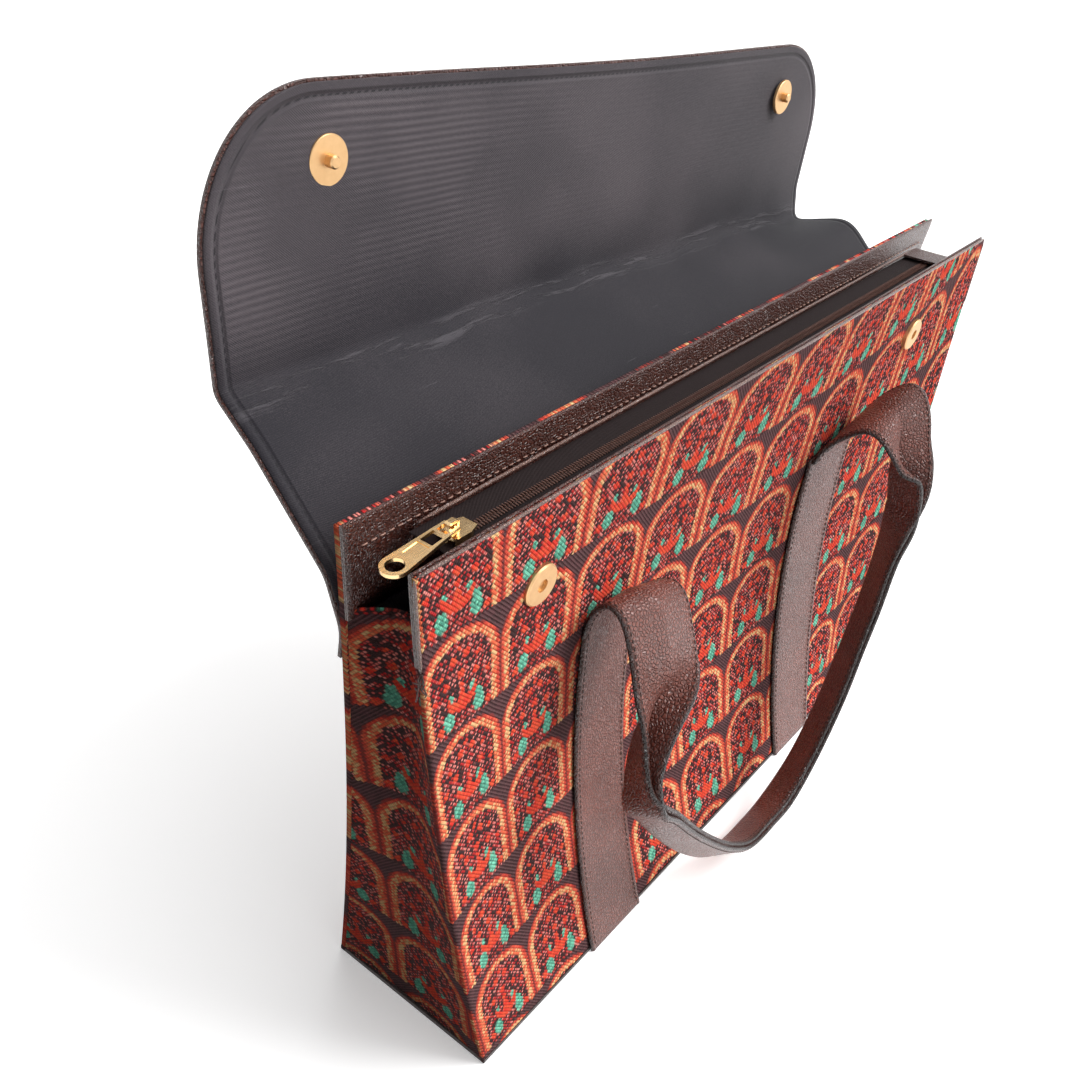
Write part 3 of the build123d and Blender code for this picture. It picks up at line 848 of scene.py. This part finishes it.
def bands(prefix, y_of, outward):
    """The two bands on a wall with their stitches; outward is -1 at the front, 1 at the back."""
    for side, name in ((-1, "left"), (1, "right")):
        grid, edges = band_points(y_of, outward, side)
        if outward < 0:
            grid = grid[:, ::-1]
        made = shell(f"{prefix}_{name}_band_leather", grid, 1.1, LEATHER, "leather", rim=edges)
        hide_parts(f"{prefix}_{name}_band")
        z = np.linspace(3.0, BAND_HIGH - 1, 60)
        lines = []
        for edge in (-18.8, 18.8):
            x = band_middle(side, z) + edge
            path = np.stack([x, y_of(x, z) + outward * 2.35, z], -1)
            lines += stitch_paths(path, (0, outward * 1.0, 0))
        tubes(f"{prefix}_{name}_band_stitches", lines, 0.3, THREAD, "leather")


bands("front", front_y, -1)
bands("back", back_wall_y, 1)

# each station is the strap's outer edge, middle and inner edge or, where it is folded in
# half, its crease and its open edge
FRONT_HANDLE = [
    ((-128, -26.5, 198), (-106, -26.5, 198), (-84, -26.5, 198)),
    ((-129, -30, 212), (-107, -31, 212), (-85, -33, 208)),
    ((-131, -37.5, 222), (-109, -40, 220.5), (-87, -44, 216)),
    ((-131, -45, 219.5), (-109, -48.5, 219), (-87, -51, 212)),
    ((-131, -51, 207), (-109, -55, 206), (-87, -56, 199)),
    ((-132, -57, 190), (-110, -60, 188), (-90, -60, 188)),
    ((-137, -66, 176), (-114, -57, 173), (-101, -66, 178)),
    ((-142, -76, 164), (-123, -56, 158), (-118, -75, 170)),
    ((-143, -82, 153), (-133, -60, 146), (-135, -81, 160)),
    ((-138, -64.5, 134), (-137, -84, 143)),
    ((-127, -64.5, 119), (-122, -84.5, 127)),
    ((-104, -64.5, 88), (-96, -84.5, 97)),
    ((-73, -64.5, 51), (-63, -83.5, 62)),
    ((-45, -64.5, 24), (-38, -83, 38)),
    ((-20, -64.5, 8.5), (-16, -83, 22)),
    ((9, -64.5, 5.5), (8, -82, 18.5)),
    ((31, -64.5, 8), (28, -82, 20)),
    ((60, -64.5, 20), (52, -82, 33)),
    ((80, -64.5, 43), (68, -83, 55)),
    ((91, -64.5, 64), (77, -83, 74)),
    ((101, -64.5, 88), (84, -83, 95)),
    ((110, -64.5, 116), (93, -82, 119)),
    ((114, -64.5, 150), (98, -82, 150)),
    ((111, -64, 176), (102, -84, 174)),
    ((116, -79, 203), (107, -62, 198), (100, -81, 200)),
    ((129, -73.5, 215), (109, -60, 210), (93, -72, 207)),
    ((131, -68.5, 231), (109.5, -59, 220), (89, -66, 215)),
    ((131, -60, 240), (110, -56, 229), (88, -57, 222)),
    ((131, -51, 240), (110, -49, 230), (88, -48, 223)),
    ((131, -40, 229), (109, -38, 222), (87, -37, 215)),
    ((129, -31, 213), (107, -30, 209), (85, -29.5, 206)),
    ((128, -26.5, 198), (106, -26.5, 198), (84, -26.5, 198)),
]


def station_frames(stations):
    """Outer edge, middle and inner edge lines of a handle, with the folded runs filled in."""
    middle = np.array([s[1] if len(s) == 3 else s[0] for s in stations], dtype=float)
    along = np.gradient(middle, axis=0)
    outer, inner = [], []
    for s, m, d in zip(stations, middle, along):
        if len(s) == 3:
            outer.append(s[0])
            inner.append(s[2])
        else:
            edge = np.array(s[1], dtype=float)
            aside = np.cross(d, edge - m)
            aside = aside / np.linalg.norm(aside) * 1.45
            outer.append(edge - aside)
            inner.append(edge + aside)
    return np.array(outer, dtype=float), middle, np.array(inner, dtype=float)


def handle(name, stations, node, flip=False):
    """A strap lofted through its stations, with its two halves folding towards each other."""
    outer, middle, inner = station_frames(stations)
    folded = np.array([0.0 if len(s) == 3 else 1.0 for s in stations])[:, None]
    outer, middle, inner, folded = (smooth_path(p, 7) for p in (outer, middle, inner, folded))
    folded = np.clip(folded, 0, 1)
    cut = np.linspace(-1, 1, 41)
    grid = np.zeros((len(middle), len(cut), 3))
    for i in range(len(middle)):
        reach_out, reach_in = outer[i] - middle[i], inner[i] - middle[i]
        reach_out *= STRAP_HALF / np.linalg.norm(reach_out)
        reach_in *= STRAP_HALF / np.linalg.norm(reach_in)
        spread = reach_out - reach_in
        aside = spread / np.linalg.norm(spread)
        for j, s in enumerate(cut):
            a = abs(s)
            reach = reach_out if s < 0 else reach_in
            sign = 1 if s < 0 else -1
            bulge = 1.45 * min(1.0, a * STRAP_HALF / 2.0) ** 0.5 * (1 - a) * folded[i, 0]
            grid[i, j] = middle[i] + reach * a + aside * sign * bulge
    if flip:
        grid = grid[:, ::-1]
    normal = normals_of(grid)
    edge = np.clip(from_edge(cut) / 1.6, 0, 1)
    half = (0.45 + 0.55 * np.sqrt(1 - (1 - edge) ** 2))[None, :, None] * STRAP_THICK / 2
    top, under = grid + normal * half, grid - normal * half
    points = np.concatenate([top.reshape(-1, 3), under.reshape(-1, 3)])
    edges = np.concatenate([np.tile(painted_rim(cut), (len(middle), 1))] * 2)
    made = piece(name, points, shell_faces(*grid.shape[:2]), LEATHER, "leather", rim=edges)
    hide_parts(node)
    lines = []
    for column in (2, len(cut) - 3):
        for sign in (1, -1):
            away = normal[:, column] * sign
            lines += stitch_paths(grid[:, column] + away * STRAP_THICK * 0.5, away)
    tubes(name.replace("leather", "stitches"), lines, 0.3, THREAD, "leather")


handle("front_handle_leather", FRONT_HANDLE, "front_handle")


def unfolded(x, y, z):
    """A flat, level station of the back handle."""
    return ((x - STRAP_HALF, y, z), (x, y, z), (x + STRAP_HALF, y, z))


BACK_LEFT = [
    unfolded(-106, 13.6, 198), unfolded(-106.5, 15, 211), unfolded(-107, 21, 222),
    unfolded(-107, 31, 225.5), unfolded(-107, 41.5, 221), unfolded(-107, 47, 209),
    unfolded(-107, 49, 194),
    ((-126, 57, 178), (-107, 50, 176), (-90, 58, 178)),
    ((-117, 68, 163), (-107, 52, 161), (-100, 68, 163)),
    ((-106, 54, 143), (-106, 75, 145)), ((-102, 54, 107), (-102, 75, 109)),
    ((-91, 54, 76), (-91, 75, 78)), ((-75, 54, 49), (-74, 75, 52)),
    ((-53, 54, 28), (-52, 75, 31)), ((-27, 54, 15), (-26, 75, 18)),
]
BACK_RIGHT = [tuple((-x, y, z) for x, y, z in station) for station in BACK_LEFT[::-1]]
BACK_HANDLE = BACK_LEFT + [((0, 54, 10.5), (0, 75, 13.5))] + BACK_RIGHT
handle("back_handle_leather", BACK_HANDLE, "back_handle", flip=True)

# ---------------------------------------------------------------- flap

FLAP_WIDE = 464.0
FLAP_DROOP = 29.0  # how much lower its right end stands
FLAP_TAPER = 4.0  # how much narrower each half of its top is
FLAP_CORNER = 55.0  # its top corners' radius


def flap_section(x):
    """The flap's side line at x, as points (y, z) evenly along it, and its length."""
    seat = 1.65
    fall = FLAP_DROOP * x / FLAP_WIDE
    corners = np.array([(back_y(230.0) + seat, 230.0), (back_y(242.0) + seat, 242.0),
                        (15.0, 262.0), (76.0, 297.0 - fall), (75.0, 395.0 - fall)])
    line = [corners[0]]
    for k, radius in ((1, 20.0), (2, 12.0), (3, 7.0)):
        a, b, c = corners[k - 1:k + 2]
        u, v = (a - b) / np.linalg.norm(a - b), (c - b) / np.linalg.norm(c - b)
        reach = radius / math.tan(math.acos(np.clip(np.dot(u, v), -1, 1)) / 2)
        for t in np.linspace(0, 1, 9):
            line.append((1 - t) ** 2 * (b + u * reach) + 2 * t * (1 - t) * b
                        + t * t * (b + v * reach))
    line.append(corners[-1])
    line = np.array(line)
    run = np.r_[0, np.cumsum(np.linalg.norm(np.diff(line, axis=0), axis=1))]
    at = np.linspace(0, run[-1], 241)
    return np.stack([np.interp(at, run, line[:, 0]), np.interp(at, run, line[:, 1])], 1), run[-1]


LEFT_LINE = flap_section(-FLAP_WIDE / 2)[0]
RIGHT_LINE = flap_section(FLAP_WIDE / 2)[0]
FLAP_LONG = flap_section(0.0)[1]


def flap_place(x, s):
    """The flap's middle sheet at x across and s along it from the seam."""
    t = s / FLAP_LONG
    at = np.linspace(0, 1, len(LEFT_LINE))
    share = (x + FLAP_WIDE / 2) / FLAP_WIDE
    y, z = ((1 - share) * np.interp(t, at, LEFT_LINE[:, k])
            + share * np.interp(t, at, RIGHT_LINE[:, k]) for k in (0, 1))
    # the upright part is turned a little, rumpled at its crease and waved, and its right
    # edge stands out in an ear
    upright = np.clip((z - 262) / 35, 0, 1) * np.clip((400 - z) / 100, 0, 1)
    y = y + 7.0 * x / (FLAP_WIDE / 2) * upright
    rumple = np.exp(-((s - 98) / 16) ** 2) * (1.1 * np.sin(x / 17.0 + 1.3 * np.sin(x / 41.0))
                                            + 0.6 * np.sin(x / 7.3 + 2.0))
    rumple += 1.2 * np.sin(x / 60.0 + s / 45.0) * np.clip((s - 40) / 60, 0, 1)
    right = np.clip((x - 110) / 120, 0, 1) ** 2
    ear = 10.0 * np.exp(-((s - 64) / 17) ** 2) - 6.0 * np.exp(-((s - 100) / 12) ** 2)
    return np.stack([x + 0.35 * right * np.maximum(ear, 0), y + 0.6 * rumple,
                     z + 0.5 * rumple + right * ear], -1)


def flap_half(s):
    """Half the flap's width at s along it, as if its corners were sharp."""
    return FLAP_WIDE / 2 - FLAP_TAPER * s / FLAP_LONG


def flap_grid(border):
    """The flap's middle sheet less a border, with its flat layer."""
    corner = FLAP_CORNER - border
    crown = FLAP_LONG - corner - border
    straight = 0.72  # the share of the rows below the corners
    row = np.linspace(0, 1, 130)
    turn = np.clip((row - straight) / (1 - straight), 0, 1) * math.pi / 2
    s = np.where(row < straight, row / straight * crown, crown + corner * np.sin(turn))
    half = flap_half(s) - border
    half = half - corner + np.sqrt(np.maximum(0, corner ** 2 - np.maximum(0, s - crown) ** 2))
    u, s = np.meshgrid(np.linspace(-1, 1, 180), s)
    x = u * half[:, None]
    side_gap = flap_half(s) - border - np.abs(x)
    top_gap = FLAP_LONG - border - s
    near_corner = (side_gap < corner) & (top_gap < corner)
    edge = np.where(near_corner, corner - np.hypot(corner - side_gap, corner - top_gap),
                    np.minimum(side_gap, top_gap))
    return flap_place(x, s), np.stack([x, s, edge], -1)


sheet, flat = flap_grid(0.0)
normal = normals_of(sheet)
painted = np.clip(2.2 - flat[:, :, 2], 0, 1)
painted = np.stack([painted * 0.6, 0 * painted, 0 * painted], -1)
flap_leather = shell("flap_leather", sheet + normal * 0.8, 1.6, LEATHER, "leather", rim=painted)
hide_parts("flap")
sheet, flat = flap_grid(1.0)
normal = normals_of(sheet)
flap_lining = shell("flap_lining_cloth", (sheet - normal * 1.6)[:, ::-1], 0.8, LINING,
                    "lining_fabric", flat=flat[:, ::-1])
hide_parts("flap_lining")

# ---------------------------------------------------------------- carried-over nodes

for name, material in (("base_panel", EDGE), ("back_zip_strip", TRIM), ("back_zip_tape", TAPE),
                       ("zip_end_tab", TRIM), ("zip_slider", METAL), ("zip_pull", METAL),
                       ("left_snap_socket", WASHER), ("right_snap_socket", WASHER),
                       ("left_snap_stud", WASHER), ("right_snap_stud", WASHER)):
    for material_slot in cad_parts[name].material_slots:
        material_slot.material = material

# ---------------------------------------------------------------- floor, light and world

bpy.ops.mesh.primitive_plane_add(size=40.0, location=(0, 0, -0.0002))
floor = bpy.context.object
floor.name = "floor"
floor_shader = Shader("floor", Roughness=0.9, Specular_IOR_Level=0.1)
grain = floor_shader.noise(floor_shader.place(), 3.0, 2.0)
paper = floor_shader.mix(grain, srgb(252, 252, 252), srgb(255, 255, 255))
direct = seen_by(floor_shader.tree, "Camera", "Glossy", "Transmission")
floor_shader.set("Base Color", floor_shader.mix(direct, srgb(128, 128, 128), paper))
floor_shader.set("Emission Color", (1.0, 1.0, 1.0, 1.0))
floor_shader.set("Emission Strength", direct * 0.35)
floor.data.materials.append(floor_shader.material)

world = bpy.data.worlds.new("world")
bpy.context.scene.world = world
world.use_nodes = True
tree = world.node_tree
backdrop = tree.nodes["Background"]
level = seen_by(tree, "Camera", "Glossy", "Transmission")
# the sky's light comes from the bag's right and front, and from above
sky = tree.nodes.new("ShaderNodeTexCoord")
likeness = tree.nodes.new("ShaderNodeVectorMath")
likeness.operation = "DOT_PRODUCT"
tree.links.new(sky.outputs["Generated"], likeness.inputs[0])
likeness.inputs[1].default_value = (0.76, -0.46, 0.46)
dome = Value(tree, likeness.outputs["Value"]).step(0.0, 1.0) * 2.2 + 0.06
backdrop.inputs["Color"].default_value = (1, 1, 1, 1)
plug(tree, backdrop.inputs["Strength"], level + (1.0 - level) * dome)


def sun(name, towards, strength, spread):
    """A soft distant light; towards points from the bag to it."""
    data = bpy.data.lights.new(name, "SUN")
    data.energy = strength
    data.angle = math.radians(spread)
    made = bpy.data.objects.new(name, data)
    bpy.context.scene.collection.objects.link(made)
    made.rotation_euler = Vector(towards).to_track_quat("Z", "Y").to_euler()


sun("key", (0.55, -0.70, 0.75), 2.1, 30)
